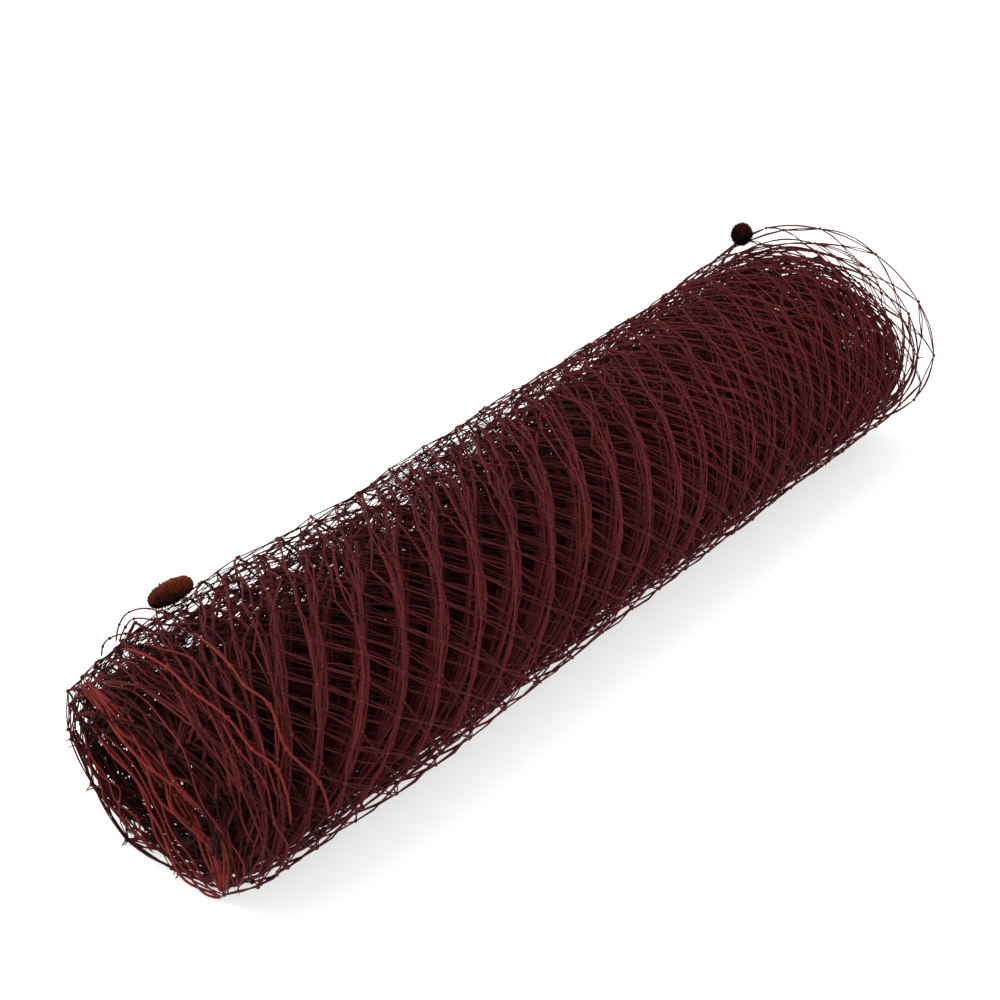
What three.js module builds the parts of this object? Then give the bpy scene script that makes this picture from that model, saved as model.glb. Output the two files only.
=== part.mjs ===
// A roll of knotted veil net lying on its side: the tight winding, open down its middle, the loose
// outer turn that stands off it, and two chenille tufts tied into that turn.
// Millimetres. +X runs along the roll, +Y to its back and +Z up. The origin is on the surface that
// the roll lies on, under the middle of it.
import * as THREE from "three";

// Driving sizes
const netWidth = 230; // selvedge to selvedge, which is the roll's length
const sheetThick = 1; // the loose turn's net
const strandWide = 1.25;
const seatGap = 0.3; // between pieces that touch
const underGap = 0.5; // between the winding and the net that it lies on
const floorSink = 2.3; // how far the soft roll has flattened on the surface

// The tight winding's ends: its turns have crept in from the loose turn's edges
const tightNearX = -netWidth / 2 + 2.5;
const tightFarX = netWidth / 2 - 5;

// How the roll sags and flares: half width and height of the tight winding and of the loose turn
const stations = [
  { x: -115, tightHalf: 24.0, tightHigh: 39.5, looseHalf: 27.0, looseHigh: 44.0, sway: 0.6 },
  { x: -98, tightHalf: 26.2, tightHigh: 43.2, looseHalf: 28.8, looseHigh: 47.0, sway: 0.3 },
  { x: -70, tightHalf: 27.0, tightHigh: 44.6, looseHalf: 30.2, looseHigh: 48.8, sway: 0.0 },
  { x: -30, tightHalf: 27.0, tightHigh: 44.8, looseHalf: 29.8, looseHigh: 48.2, sway: -0.3 },
  { x: 15, tightHalf: 27.2, tightHigh: 44.8, looseHalf: 30.0, looseHigh: 48.2, sway: 0.2 },
  { x: 60, tightHalf: 27.8, tightHigh: 45.6, looseHalf: 30.6, looseHigh: 49.2, sway: 0.5 },
  { x: 95, tightHalf: 28.2, tightHigh: 46.4, looseHalf: 31.6, looseHigh: 51.0, sway: 0.2 },
  { x: 115, tightHalf: 27.4, tightHigh: 45.0, looseHalf: 32.6, looseHigh: 52.6, sway: 0.0 },
];

// Slow swellings of hand-rolled net: how high they are, and the length in which each wave turns one radian
const swell = { along: 0.35, alongEvery: 17, weave: 2, round: 0.3, roundEvery: 41, lobes: 3 };

// Turn angles are in degrees: 0 is the front, 90 the top, 180 the back and 270 the underside
const loose = {
  from: -86, // it leaves the winding underneath
  span: 352, // and ends on the surface, just short of where it began
  easeSpan: 52, // it stands clear of the winding after this much
  hug: 2, // its strands are straight between knots, so they start this far out
  rows: 16, // knots stand at every second crossing of these rows and columns
  columns: 35,
  knotsWide: netWidth - 1.5, // between the middles of the outermost knots
};

// The winding's strands lie over each other in bands, and one diamond of them is four steps each way.
// The bands that lean one way are the heavier, and at the far end all of them stand closer.
const winding = {
  alongSteps: 88,
  roundSteps: 32,
  bandEvery: 4,
  bandStretch: 1.18, // spacing of the bands at the near end, over the mean
  bandHigh: 1.4,
  crossBandHigh: 0.9,
  turnStep: 1.1, // the edge of the last tight turn
};

// The ends of the winding: turns that stand out round a hollow, one end sunk in and the other domed
const ends = { steps: 7, turns: 4, relief: 1.3, nearRecess: 5, farDome: 3 };
const core = { half: 6.5, high: 9.5, middleZ: 20, steps: 8 };

// Each tuft is tied in at a row and column of the loose turn, and lies along the roll but for its swing
const tufts = [
  { name: "chenille_tuft_near", row: 9.6, column: 3.3, long: 9.6, thick: 5, swing: -10 },
  { name: "chenille_tuft_far", row: 9.36, column: 33.1, long: 9.6, thick: 5.8, swing: 32 },
];
const pile = { sides: 16, rings: 10, blunt: 0.4, lobes: 4, lobeHigh: 0.09, twist: 1.25 };

const burgundy = { color: 0x4a1d20, roughness: 0.75, metalness: 0 };
const rust = { color: 0x3d1512, roughness: 0.95, metalness: 0 };

const { lerp, smoothstep, euclideanModulo, degToRad } = THREE.MathUtils;
const fullTurn = 2 * Math.PI;

// A column of the stations at x, eased between its rows
function sizeAt(x, column) {
  const found = stations.findIndex((row) => row.x >= x);
  const next = found < 0 ? stations.length - 1 : Math.max(found, 1);
  const low = stations[next - 1];
  const high = stations[next];
  return lerp(low[column], high[column], smoothstep(x, low.x, high.x));
}

// How far the surface swells there. It fades out underneath, where the net is pressed flat.
function swellAt(x, turn) {
  const alongWave = Math.sin(x / swell.alongEvery + swell.weave * Math.sin(turn));
  const roundWave = Math.sin(swell.lobes * turn + x / swell.roundEvery);
  return (swell.along * alongWave + swell.round * roundWave) * Math.min(1, 1 + Math.sin(turn));
}

// A point that stands out by lift from a sagged oval of that half width and height. The oval's underside
// has sunk below its base, and no point is lower than floor.
function ovalPoint({ x, turn, half, high, base, lift, floor }) {
  const middle = base - floorSink + high / 2;
  const y = sizeAt(x, "sway") - (half + lift) * Math.cos(turn);
  const z = middle + (high / 2 + lift) * Math.sin(turn);
  return new THREE.Vector3(x, y, Math.max(z, floor));
}

function geometryOf(positions, faces) {
  const geometry = new THREE.BufferGeometry();
  geometry.setAttribute("position", new THREE.Float32BufferAttribute(positions, 3));
  geometry.setIndex(faces);
  geometry.computeVertexNormals();
  return geometry;
}

// A closed skin over a grid of rings that joins up both ways. Where leans says so, a quad is cut the other
// way.
function closedSkin(ringCount, pointCount, place, leans) {
  const positions = [];
  const faces = [];
  const at = (ring, point) => (ring % ringCount) * pointCount + (point % pointCount);
  for (let ring = 0; ring < ringCount; ring++) {
    for (let point = 0; point < pointCount; point++) {
      positions.push(...place(ring, point));
      const a = at(ring, point);
      const b = at(ring + 1, point);
      const c = at(ring + 1, point + 1);
      const d = at(ring, point + 1);
      if (leans(ring, point)) faces.push(a, b, d, b, c, d);
      else faces.push(a, b, c, a, c, d);
    }
  }
  return geometryOf(positions, faces);
}

// A point of the tight winding's side, moved out by lift
function windingPoint(x, turn, lift) {
  const wound = euclideanModulo(turn - degToRad(loose.from), fullTurn) / fullTurn;
  const out = winding.turnStep * (wound - 1) + swellAt(x, turn) + lift;
  const half = sizeAt(x, "tightHalf");
  const high = sizeAt(x, "tightHigh");
  const base = sheetThick + underGap;
  return ovalPoint({ x, turn, half, high, base, lift: out, floor: base });
}

// How far a grid point of the winding's side stands out: on a heavy band, on a cross band or between them
function bandLift(ring, point) {
  const { bandEvery, bandHigh, crossBandHigh, roundSteps } = winding;
  if ((ring + point) % bandEvery === 0) return 0;
  if ((ring - point + roundSteps) % bandEvery === 0) return crossBandHigh - bandHigh;
  return -bandHigh;
}

function corePoint(x, turn) {
  const y = -core.half * Math.cos(turn);
  const z = core.middleZ + (core.high / 2) * Math.sin(turn);
  return new THREE.Vector3(x, y, z);
}

// A point of an end, a share of the way in from its rim to the hollow, where the end has moved by slope
function endPoint(x, turn, share, outward, slope) {
  const made = windingPoint(x, turn, 0).lerp(corePoint(x, turn), share);
  const wave = Math.cos(fullTurn * share * ends.turns - turn);
  made.x += outward * ends.relief * wave * Math.sin(Math.PI * share);
  made.x += slope * Math.sin((Math.PI / 2) * share);
  return made;
}

function windingGeometry() {
  const { alongSteps, roundSteps, bandStretch, bandEvery } = winding;
  const hollowFrom = alongSteps + ends.steps;
  const hollowTo = hollowFrom + core.steps;
  const ringCount = hollowTo + ends.steps;

  const place = (ring, point) => {
    const turn = degToRad(loose.from) + (fullTurn * point) / roundSteps;
    if (ring <= alongSteps) {
      const share = ring / alongSteps;
      const along = share * (bandStretch - (bandStretch - 1) * share);
      return windingPoint(lerp(tightNearX, tightFarX, along), turn, bandLift(ring, point));
    }
    if (ring < hollowFrom) {
      return endPoint(tightFarX, turn, (ring - alongSteps) / ends.steps, 1, ends.farDome);
    }
    if (ring > hollowTo) {
      return endPoint(tightNearX, turn, (ringCount - ring) / ends.steps, -1, ends.nearRecess);
    }
    const along = (ring - hollowFrom) / core.steps;
    return corePoint(lerp(tightFarX + ends.farDome, tightNearX + ends.nearRecess, along), turn);
  };
  const leans = (ring, point) => ring < alongSteps && (ring + 1 + point) % bandEvery === 0;
  return closedSkin(ringCount, roundSteps, place, leans);
}

// A point of the loose turn: rows go round it and columns along it, on its inner or its outer face
function loosePoint(row, column, outer) {
  const degrees = loose.from + (loose.span * row) / loose.rows;
  const turn = degToRad(degrees);
  const x = loose.knotsWide * (column / loose.columns - 0.5);
  const clear = smoothstep(degrees, loose.from, loose.from + loose.easeSpan);
  const half = lerp(sizeAt(x, "tightHalf") + loose.hug, sizeAt(x, "looseHalf"), clear);
  const high = lerp(sizeAt(x, "tightHigh") + loose.hug, sizeAt(x, "looseHigh"), clear);
  const lift = swellAt(x, turn) + (outer ? sheetThick : 0);
  return ovalPoint({ x, turn, half, high, base: sheetThick, lift, floor: outer ? 0 : sheetThick });
}

// A net cut right through: a pad at each knot, and a strand to each of its diagonal neighbours
function netGeometry({ rows, columns }, place, rowStep, columnStep) {
  const strandLong = Math.hypot(rowStep, columnStep);
  const padRow = (strandWide * strandLong) / (2 * columnStep) / rowStep;
  const padColumn = (strandWide * strandLong) / (2 * rowStep) / columnStep;
  const corners = [
    { row: 0, column: 1 },
    { row: 1, column: 0 },
    { row: 0, column: -1 },
    { row: -1, column: 0 },
  ];
  const positions = [];
  const faces = [];
  const numbers = new Map();

  // The number of a pad's corner, which is made the first time it is asked for
  const cornerOf = (row, column, corner, outer) => {
    const key = [row, column, corner, outer].join();
    if (!numbers.has(key)) {
      const side = corners[corner];
      numbers.set(key, positions.length / 3);
      positions.push(...place(row + side.row * padRow, column + side.column * padColumn, outer));
    }
    return numbers.get(key);
  };
  const quad = (a, b, c, d) => faces.push(a, b, c, a, c, d);
  const wall = (row, column, from, toRow, toColumn, to) => {
    quad(
      cornerOf(row, column, from, true),
      cornerOf(row, column, from, false),
      cornerOf(toRow, toColumn, to, false),
      cornerOf(toRow, toColumn, to, true),
    );
  };
  const strand = (row, column, corner, next, toRow, toColumn) => {
    const across = (corner + 3) % 4;
    const facing = (corner + 2) % 4;
    for (const outer of [true, false]) {
      const loop = [
        cornerOf(row, column, corner, outer),
        cornerOf(toRow, toColumn, across, outer),
        cornerOf(toRow, toColumn, facing, outer),
        cornerOf(row, column, next, outer),
      ];
      quad(...(outer ? loop : loop.reverse()));
    }
    wall(row, column, corner, toRow, toColumn, across);
    wall(toRow, toColumn, facing, row, column, next);
  };

  for (let row = 0; row <= rows; row++) {
    for (let column = row % 2; column <= columns; column += 2) {
      quad(...[0, 1, 2, 3].map((corner) => cornerOf(row, column, corner, true)));
      quad(...[3, 2, 1, 0].map((corner) => cornerOf(row, column, corner, false)));
      for (let corner = 0; corner < 4; corner++) {
        const next = (corner + 1) % 4;
        const toRow = row + corners[corner].row + corners[next].row;
        const toColumn = column + corners[corner].column + corners[next].column;
        const inNet = toRow >= 0 && toRow <= rows && toColumn >= 0 && toColumn <= columns;
        if (!inNet) wall(row, column, corner, row, column, next);
        else if (toRow > row) strand(row, column, corner, next, toRow, toColumn);
      }
    }
  }
  return geometryOf(positions, faces);
}

function looseTurnGeometry() {
  const meanRadius = (sizeAt(0, "looseHalf") + sizeAt(0, "looseHigh") / 2) / 2;
  const rowStep = (degToRad(loose.span) * meanRadius) / loose.rows;
  return netGeometry(loose, loosePoint, rowStep, loose.knotsWide / loose.columns);
}

// A chenille tuft: a short barrel of pile with blunt ends, whose lobes twist round it
function tuftGeometry({ long, thick }) {
  const profile = [];
  for (let ring = 0; ring <= pile.rings; ring++) {
    const share = ring / pile.rings;
    const onAxis = ring === 0 || ring === pile.rings;
    const radius = onAxis ? 0 : (thick / 2) * Math.pow(Math.sin(Math.PI * share), pile.blunt);
    profile.push(new THREE.Vector2(radius, long * (share - 0.5)));
  }
  const geometry = new THREE.LatheGeometry(profile, pile.sides);
  const points = geometry.attributes.position;
  for (let i = 0; i < points.count; i++) {
    const angle = Math.atan2(points.getX(i), points.getZ(i));
    const twist = (fullTurn * pile.twist * points.getY(i)) / long;
    const lobe = 1 - pile.lobeHigh * (1 + Math.cos(pile.lobes * angle + twist));
    points.setX(i, points.getX(i) * lobe);
    points.setZ(i, points.getZ(i) * lobe);
  }
  geometry.computeVertexNormals();
  return geometry.rotateZ(Math.PI / 2);
}

function mesh(name, geometry, finish) {
  const made = new THREE.Mesh(geometry, new THREE.MeshStandardMaterial(finish));
  made.name = name;
  return made;
}

function tuftMesh(tuft) {
  const seat = loosePoint(tuft.row, tuft.column, true);
  const inner = loosePoint(tuft.row, tuft.column, false);
  const out = seat.clone().sub(inner).normalize();
  const made = mesh(tuft.name, tuftGeometry(tuft), rust);
  made.quaternion.setFromUnitVectors(new THREE.Vector3(0, 0, 1), out);
  made.rotateZ(degToRad(tuft.swing));
  made.position.copy(seat).addScaledVector(out, seatGap + tuft.thick / 2);
  return made;
}

const roll = new THREE.Group();
roll.add(mesh("net_roll", windingGeometry(), burgundy));
roll.add(mesh("loose_turn", looseTurnGeometry(), burgundy));
roll.add(...tufts.map(tuftMesh));

export default roll;
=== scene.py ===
import math
import bpy
import numpy as np
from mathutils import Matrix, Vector


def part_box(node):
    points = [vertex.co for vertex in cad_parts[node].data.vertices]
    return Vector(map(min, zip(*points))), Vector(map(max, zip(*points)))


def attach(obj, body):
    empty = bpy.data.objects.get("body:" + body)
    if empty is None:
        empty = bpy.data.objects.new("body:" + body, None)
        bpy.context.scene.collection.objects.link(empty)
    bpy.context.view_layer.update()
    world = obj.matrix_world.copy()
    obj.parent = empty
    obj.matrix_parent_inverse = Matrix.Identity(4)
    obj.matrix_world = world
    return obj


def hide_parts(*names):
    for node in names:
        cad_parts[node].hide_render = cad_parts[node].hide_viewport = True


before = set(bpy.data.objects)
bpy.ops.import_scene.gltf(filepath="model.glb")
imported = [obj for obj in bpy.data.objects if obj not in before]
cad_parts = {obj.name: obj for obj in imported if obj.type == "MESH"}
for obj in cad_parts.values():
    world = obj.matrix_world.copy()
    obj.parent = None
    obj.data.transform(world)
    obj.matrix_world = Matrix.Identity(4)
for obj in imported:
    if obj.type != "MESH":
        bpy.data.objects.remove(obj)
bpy.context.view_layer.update()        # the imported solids, in metres, +X along the roll
mm = 0.001
scene = bpy.context.scene
print("stage 1: frame loaded,", len(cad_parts), "nodes")

# camera, at the angle of the photograph
cameraSetup = {
    "place": (-277.3 * mm, -212.0 * mm, 245.8 * mm),
    "looksAlong": (0.6563, 0.5353, -0.5316),
    "lens": 67.2,
    "sensorWidth": 36,
}
cameraData = bpy.data.cameras.new("camera")
cameraData.lens = cameraSetup["lens"]
cameraData.sensor_width = cameraSetup["sensorWidth"]
cameraData.clip_start = 0.01
cameraData.clip_end = 20
cameraObject = bpy.data.objects.new("camera", cameraData)
scene.collection.objects.link(cameraObject)
cameraObject.location = cameraSetup["place"]
cameraObject.rotation_mode = "QUATERNION"
cameraObject.rotation_quaternion = Vector(cameraSetup["looksAlong"]).to_track_quat("-Z", "Y")
scene.camera = cameraObject

# the roll's outline, as the solids have it: half widths and heights of the winding and of the loose turn
stationNames = ("x", "tightHalf", "tightHigh", "looseHalf", "looseHigh", "sway")
stationRows = np.array([
    (-115, 24.0, 39.5, 27.0, 44.0, 0.6),
    (-98, 26.2, 43.2, 28.8, 47.0, 0.3),
    (-70, 27.0, 44.6, 30.2, 48.8, 0.0),
    (-30, 27.0, 44.8, 29.8, 48.2, -0.3),
    (15, 27.2, 44.8, 30.0, 48.2, 0.2),
    (60, 27.8, 45.6, 30.6, 49.2, 0.5),
    (95, 28.2, 46.4, 31.6, 51.0, 0.2),
    (115, 27.4, 45.0, 32.6, 52.6, 0.0),
]) * mm
stations = dict(zip(stationNames, stationRows.T))

rollForm = {
    "width": 228.5 * mm,        # selvedge to selvedge
    "sink": 2.3 * mm,           # how far the soft roll has flattened on the surface
    "tightBase": 1.5 * mm,      # the winding lies on this much loose net
    "startsAt": -86,            # degrees; 0 is the front, 90 the top, 270 the underside
    "coreHalf": 6.5 * mm,
    "coreHigh": 9.5 * mm,
    "coreMiddle": 20 * mm,
    "undercut": 1.9 * mm,       # how far the winding draws in low down in front, behind the loose turn
    "undercutAt": (-38, 48),    # degrees: the middle of that, and how far round it reaches
    "coreFloor": 9 * mm,        # the innermost turn lies at least so much higher than the outermost one
    "swellAlong": 0.35 * mm,
    "swellRound": 0.3 * mm,
    "swellSteps": (17 * mm, 41 * mm),   # along the roll, of each of the two swellings
}

# the net: one long strip of knotted diamonds, wound from the core outwards
netForm = {
    "halfColumns": 50,          # knots stand at every second crossing of half columns and half rows
    "halfRow": 7.1 * mm,
    "outerRows": 24,            # half rows in each of the outer turns
    "innerTurns": 9,
    "outerTurns": 13,
    "outerShare": 0.42,         # of the winding's thickness, which the outer turns take up
    "looseTurns": 4,
    "middleTurns": 8,           # of the outer turns, which are a piece of their own
    "easingTurns": 2,           # of the loose turns, which are too
    "highThin": 0.3,            # how much thinner the crossing threads are high up in the near half
    "knotWander": 0.36 * mm,
    "calm": (2.4, 0.4),         # from so many turns out, the knots wander by this share less
    "pressedFrom": 2,           # turns out, from where no knot stands up from its turn
    "coreRadius": 6 * mm,
    "keepsTo": (-117.2 * mm, 115.6 * mm),
    "seed": 11,
}
# how far apart the columns stand along the roll, against the mean, at shares of its length
columnSpread = [(0.0, 0.5), (0.06, 0.6), (0.13, 1.16), (0.42, 1.24), (0.58, 1.0), (0.75, 0.86), (1.0, 0.84)]

randomNet = np.random.default_rng(netForm["seed"])


def eased(share):
    share = np.clip(share, 0, 1)
    return share * share * (3 - 2 * share)


# from 0 at the first value to 1 at the second
def rampOf(value, ends):
    return eased((value - ends[0]) / (ends[1] - ends[0]))


def mixed(low, high, share):
    return low + (high - low) * share


def unit(vectors):
    return vectors / np.linalg.norm(vectors, axis=-1, keepdims=True)


def sizeAt(x, name):
    at = np.clip(np.searchsorted(stations["x"], x), 1, len(stations["x"]) - 1)
    low, high = stations["x"][at - 1], stations["x"][at]
    return mixed(stations[name][at - 1], stations[name][at], eased((x - low) / (high - low)))


def swellAt(x, turn):
    short, long = rollForm["swellSteps"]
    along = np.sin(x / short + 2 * np.sin(turn))
    about = np.sin(3 * turn + x / long)
    return (rollForm["swellAlong"] * along + rollForm["swellRound"] * about) * np.minimum(1, 1 + np.sin(turn))


# share of the way from the winding's surface to its core, so many turns down
def shareDown(depth):
    outer, every = netForm["outerTurns"], netForm["outerTurns"] + netForm["innerTurns"]
    return np.interp(depth, (0, outer, every), (0, netForm["outerShare"], 1))


# the near end: the core lies back there, the front of each deeper turn has slid out and its back has sunk in
nearEnd = {
    "from": -80 * mm,
    "to": -112 * mm,
    "coreBack": 5 * mm,
    "coreDown": 2 * mm,
    "slidOut": 4.5 * mm,
    "sunkIn": 2.5 * mm,
    "hollow": 4 * mm,           # how far back the deepest turns end behind the opening
    "hollowFrom": 0.4,          # of the way in to the core, and over how much of it
    "hollowRamp": 0.5,
    "facing": 50,               # degrees: where the turns have slid out most
}


# 1 low down in front, where the winding draws in behind the loose turn, and 0 elsewhere
def undercutShare(turn):
    middle, reach = rollForm["undercutAt"]
    return eased(1 - np.abs(np.degrees(turn) - middle) / reach)


# a point on the tight winding, so many turns below its surface
def woundPoint(x, turn, depth, lift):
    share = shareDown(depth)
    atNear = rampOf(x, (nearEnd["from"], nearEnd["to"])) * share
    half = mixed(sizeAt(x, "tightHalf"), rollForm["coreHalf"], share)
    high = mixed(sizeAt(x, "tightHigh"), rollForm["coreHigh"], share)
    tightMiddle = rollForm["tightBase"] - rollForm["sink"] + sizeAt(x, "tightHigh") / 2
    middle = mixed(tightMiddle, rollForm["coreMiddle"], share) - nearEnd["coreDown"] * atNear
    out = (swellAt(x, turn) - rollForm["undercut"] * undercutShare(turn)) * (1 - share) + lift
    floor = rollForm["tightBase"] + rollForm["coreFloor"] * share
    y = sizeAt(x, "sway") - (half + out) * np.cos(turn) + nearEnd["coreBack"] * atNear
    z = np.maximum(middle + (high / 2 + out) * np.sin(turn), floor)
    return np.stack([x, y, z], -1)


# how far the loose turns stand off, from 0 at the winding to 1 at the outermost one: spread over the top and
# the back, hugging the winding elsewhere
looseness = {
    "turns": (0, 0.2, 0.95, 1.2, 1.95, 2.2, 2.95, 3.2),
    "standing": (0, 0.06, 0.11, 0.22, 0.30, 0.56, 0.72, 1),
    "hugging": (0, 0.02, 0.05, 0.09, 0.14, 0.34, 0.48, 1),
    "standsFrom": (10, 60),             # degrees
    "farHugs": (70 * mm, 105 * mm),
    "nearest": 1.2 * mm,                # from the winding to the innermost loose turn
    "base": 1 * mm,                     # how high the outermost one lies, but for its sinking
    "floors": (1.3 * mm, 0.45 * mm),    # the lowest that the innermost and the outermost one reach
    "undercutTo": 0.625,                # of the way out, where the undercut has faded
    "over": 0.3 * mm,                   # the middle of the threads stands off the turn's inner side
}


# a point on the loose turns; clear is how far it has come from the winding to the outermost turn
def loosePoint(x, turn, clear, lift):
    nearest = looseness["nearest"]
    half = mixed(sizeAt(x, "tightHalf") + nearest, sizeAt(x, "looseHalf"), clear)
    high = mixed(sizeAt(x, "tightHigh") + nearest, sizeAt(x, "looseHigh"), clear)
    middle = mixed(rollForm["tightBase"], looseness["base"], clear) - rollForm["sink"] + high / 2
    low = undercutShare(turn) * eased(1 - clear / looseness["undercutTo"])
    out = swellAt(x, turn) + lift - rollForm["undercut"] * low
    y = sizeAt(x, "sway") - (half + out) * np.cos(turn)
    z = np.maximum(middle + (high / 2 + out) * np.sin(turn), mixed(*looseness["floors"], clear))
    return np.stack([x, y, z], -1)


def looseClear(turns, turn, x):
    stands = rampOf(np.degrees(turn), looseness["standsFrom"]) * (1 - rampOf(x, looseness["farHugs"]))
    standing = np.interp(turns, looseness["turns"], looseness["standing"])
    hugging = np.interp(turns, looseness["turns"], looseness["hugging"])
    return mixed(hugging, standing, stands)


# half rows of the strip from the core outwards: angle, turns below the surface, and turns out of the winding
def stripRows():
    angle, depth, loose = [], [], []
    turnsDeep = netForm["innerTurns"] + netForm["outerTurns"]
    meanHalf = (sizeAt(0.0, "tightHalf") + sizeAt(0.0, "tightHigh") / 2) / 2
    coreMean = (rollForm["coreHalf"] + rollForm["coreHigh"] / 2) / 2
    for turn in range(turnsDeep):
        radius = mixed(meanHalf, coreMean, shareDown(turnsDeep - turn - 0.5))
        rows = netForm["outerRows"]
        if turn < netForm["innerTurns"]:
            rows = min(rows, 2 * round(math.pi * radius / netForm["halfRow"]))
        for row in range(rows):
            angle.append(rollForm["startsAt"] + 360 * row / rows)
            depth.append(turnsDeep - turn - row / rows)
            loose.append(0)
    tightRows = len(angle)
    rows = netForm["outerRows"]
    for row in range(rows * netForm["looseTurns"]):
        turns = row / rows
        angle.append(rollForm["startsAt"] + 360 * (turns % 1))
        depth.append(0)
        loose.append(turns)
    return np.radians(angle), np.array(depth), np.array(loose), tightRows


rowAngle, rowDepth, rowLoose, tightRows = stripRows()
rowCount = len(rowAngle)
columnCount = netForm["halfColumns"] + 1
columnShare = np.linspace(0, 1, columnCount)
spreadShares, spreadWide = np.array(columnSpread).T
columnWide = np.interp((columnShare[1:] + columnShare[:-1]) / 2, spreadShares, spreadWide)
columnX = np.concatenate([[0], np.cumsum(columnWide)])
columnX = (columnX / columnX[-1] - 0.5) * rollForm["width"]

# how each turn's lattice has crept against the next. The steep threads of all turns keep close together in
# bands; the others lie in a few thin rows between them at the near end, and in bands too at the far one
creep = {
    "steepAngle": 36,               # degrees
    "alongNear": 2.9 * mm,
    "alongFar": 2.3 * mm,
    "alongLoose": 0.35 * mm,
    "bandNear": 1.1 * mm,
    "bandFar": 0.4 * mm,
    "splits": (5 * mm, 50 * mm),    # from here on the steep threads of every other turn lie half way between
    "deepFrom": 12,                 # turns down, from where the turns lie anyhow
    "deepRamp": 3,
    "deepAcross": 5 * mm,
    "leanPerTurn": 0.42 * mm,
    "leanLoose": 2.2 * mm,
    "fades": (-15 * mm, 50 * mm),   # from the bands of the near half to the lattice of the far one
    "driftFrom": (52, 86),          # degrees: over the top and the back the loose turns drift apart
    "driftTo": (255, 215),
    "driftTurns": 0.6,
    "golden": 0.618,                # each turn has crept this share of a band further than the last
    "glides": (0.85, 1),            # of its way round, where a turn glides into the next one's place
    "heldShare": 0.08,              # of the net's width, near each selvedge, which holds it in place
}
# how far the net is drawn in at its selvedges, the winding's first and then the loose turns'
selvedges = {
    "nearIn": (2.0 * mm, 0.6 * mm),
    "farIn": (3.2 * mm, 2.6 * mm),
    "nearReach": 0.16,              # shares of the net's width that follow the selvedges
    "farReach": 0.22,
    "wander": 1.6 * mm,
    "nearWander": (1.9, 0.8),       # shares of that
    "farCalm": (2.6, 0.4),          # from so many turns out, the far one wanders by this share only
    "ragged": (3.2, 1.2),           # how much more the near selvedge's knots wander than others
    "raggedWays": (1.3, 0.5, 0.8),  # along the roll, round it and off it
    "raggedReach": 0.05,
    "nearInside": (-106 * mm, -92 * mm),    # the deep turns are thin outside these places
    "farInside": (108 * mm, 94 * mm),
}
# the top is tousled, where the roll was picked up, and further down its front towards the far end
tousle = {
    "along": (-115 * mm, 0 * mm, 30 * mm, 55 * mm, 115 * mm),
    "from": (72, 72, 64, 48, 44),   # degrees
    "ramp": 20,
    "to": (172, 140),
    "patchNear": 5.5 * mm,
    "patchFar": 3.4 * mm,
    "wander": 1.5 * mm,
    "turns": (7, 5),                # so deep it has faded, and so deep it begins to
    "looseCalm": (1.2, 2.0, 0.8),   # from and to so many turns out it fades by this share
    "farCalm": (92 * mm, 104 * mm),
}
# painted shade: the deeper a thread lies the darker it is painted, and darker still towards the near end and
# in its opening, but for the ends that have slid out into the painted light there
shading = {
    "from": 0.5,                    # turns down
    "near": (6, 0.45),              # turns down to the darkest ones, and how dark these are
    "far": (4, 0.6),
    "innermostLift": 0.25,                 # the innermost turns get so much less painted shade again
    "steepNear": 0.45,
    "crossNear": 0.32,
    "crossFar": 0.05,
    "crossHigh": 0.22,              # the crossing threads high up in the near half
    "highFrom": (36, 70),           # degrees
    "spread": 0.08,
    "tousled": 0.14,
    "nearEnd": 0.42,
    "nearFrom": (-86 * mm, -100 * mm),
    "nearLoose": 0.8,
    "mouth": 0.7,                   # painted shade on the deeper turns in the opening at the near end
    "mouthTurns": (1.5, 4.5),
    "selvedge": 0.35,
    "knots": -0.1,
}
# painted shade in the net under the far tuft
paintedShadeUnderTuft = {"x": 98 * mm, "long": 7 * mm, "degrees": 104, "high": 13, "edge": 1.3, "dark": 0.55}
# painted light on the ends of the turns that have slid out at the near end, most where they face up; it
# clears a share of their painted shade, and the knots get more of it
slidLight = {"from": -112 * mm, "to": -116 * mm, "facing": 85, "most": 0.08, "clears": 0.6, "knots": 0.16}


def perTurn(scale, rng, every=2):
    # a slow random wander round the strip, with so many new values in every turn
    rows = np.arange(rowCount)
    knots = np.arange(0, rowCount + netForm["outerRows"], netForm["outerRows"] / every)
    return np.interp(rows, knots, rng.uniform(-scale, scale, len(knots)))


def stepPerTurn(valueOf):
    # constant over most of each turn, and gliding to the next value at its end
    turns = np.arange(rowCount) / netForm["outerRows"]
    number = np.floor(turns)
    return mixed(valueOf(number), valueOf(number + 1), rampOf(turns % 1, creep["glides"]))


def patches(scale, rng, rowStep, columnStep):
    # a slow random wander over the strip, along its rows and across them
    rows = np.arange(0, rowCount + rowStep, rowStep)
    columns = np.arange(0, columnCount + columnStep, columnStep)
    grid = rng.uniform(-scale, scale, (len(rows), len(columns)))
    wide = np.stack([np.interp(np.arange(columnCount), columns, line) for line in grid])
    return np.stack([np.interp(np.arange(rowCount), rows, line) for line in wide.T], -1)


def goldenStep(number):
    return 2 * ((number * creep["golden"]) % 1) - 1


def deepTurns(depth):
    return eased((depth - creep["deepFrom"]) / creep["deepRamp"])


def netGrid():
    # every knot before its turn has crept: its place along the roll and round it, and how deep or loose it is
    whole = np.ones((rowCount, columnCount))
    grid = {
        "x": columnX * whole,
        "turn": rowAngle[:, None] * whole,
        "depth": rowDepth[:, None] * whole,
        "loose": rowLoose[:, None] * whole,
        "tight": np.arange(rowCount)[:, None] < tightRows,
    }
    grid["clear"] = looseClear(grid["loose"], grid["turn"], grid["x"])
    grid["degrees"] = np.degrees(grid["turn"])
    return grid


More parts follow.
